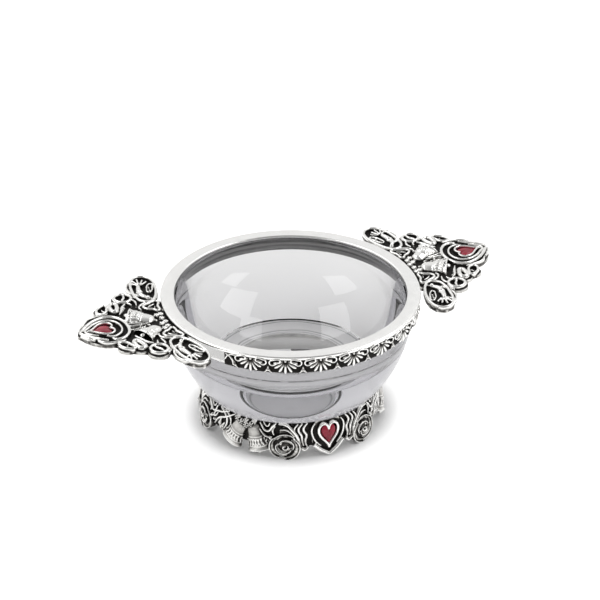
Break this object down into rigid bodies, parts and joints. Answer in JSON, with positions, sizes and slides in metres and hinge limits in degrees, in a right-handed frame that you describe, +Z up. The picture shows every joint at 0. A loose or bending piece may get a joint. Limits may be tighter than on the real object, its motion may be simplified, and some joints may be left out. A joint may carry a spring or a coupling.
{
  "type": "quaich",
  "caption": "Two-handled drinking bowl of heavy clear glass in cast pewter, with a flat polished rim, relief handles with red enamel hearts, and a garland foot.",
  "frame": {"origin": "middle of the bowl's axis on the table that the foot stands on", "axes": "+X along the handles, +Y across them, +Z up out of the bowl's mouth"},
  "size_m": [0.1722, 0.1012, 0.0553],
  "materials": {
    "glass": "clear polished",
    "polished_pewter": "polished",
    "antiqued_pewter": "cast relief, dark in the hollows and bright on the ridges",
    "red_enamel": "glossy enamel",
    "cement": "matte"
  },
  "bodies": {
    "root": {"glass_bowl": "glass", "rim_cement": "cement", "rim_collar": "polished_pewter", "front_band": "antiqued_pewter", "back_band": "antiqued_pewter", "right_handle": "antiqued_pewter", "left_handle": "antiqued_pewter", "right_handle_heart": "red_enamel", "left_handle_heart": "red_enamel", "foot_cement": "cement", "foot": "antiqued_pewter", "foot_heart_front": "red_enamel", "foot_heart_right": "red_enamel", "foot_heart_left": "red_enamel"}
  },
  "joints": []
}
